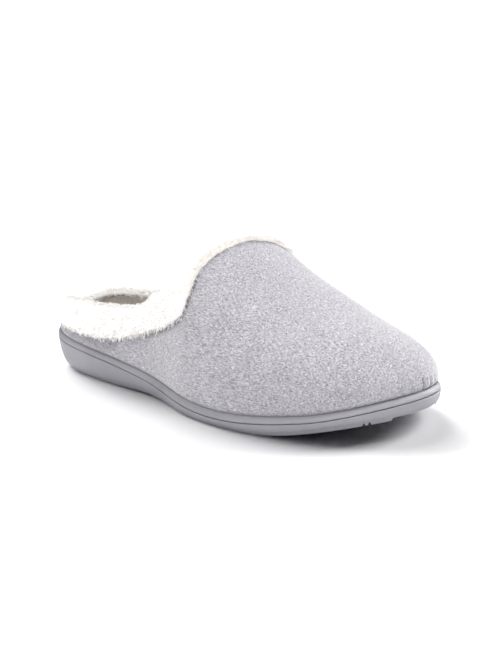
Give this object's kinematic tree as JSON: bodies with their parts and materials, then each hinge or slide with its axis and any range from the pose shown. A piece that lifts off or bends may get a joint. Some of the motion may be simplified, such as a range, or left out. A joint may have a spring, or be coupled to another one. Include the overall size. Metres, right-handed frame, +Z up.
{
  "type": "felt slipper",
  "caption": "Backless right-foot house slipper: light grey felt upper with a rounded throat, white fleece cuff low round the heel, and a grey moulded sole with a rounded band.",
  "frame": {"origin": "middle of the footprint's bounding box, on the floor", "axes": "+X from heel to toe, +Y to the inner (big toe) side, +Z up"},
  "size_m": [0.258, 0.0938, 0.0842],
  "materials": {
    "grey_rubber": "moulded, matt to satin",
    "grey_foam": "moulded, matt to satin",
    "beige_footbed_cloth": "woven, matt",
    "grey_wool_felt": "mottled wool felt, matt",
    "white_fleece": "curly pile"
  },
  "bodies": {
    "root": {"outsole": "grey_rubber", "midsole": "grey_foam", "insole": "beige_footbed_cloth", "upper": "grey_wool_felt", "collar": "white_fleece"}
  },
  "joints": []
}
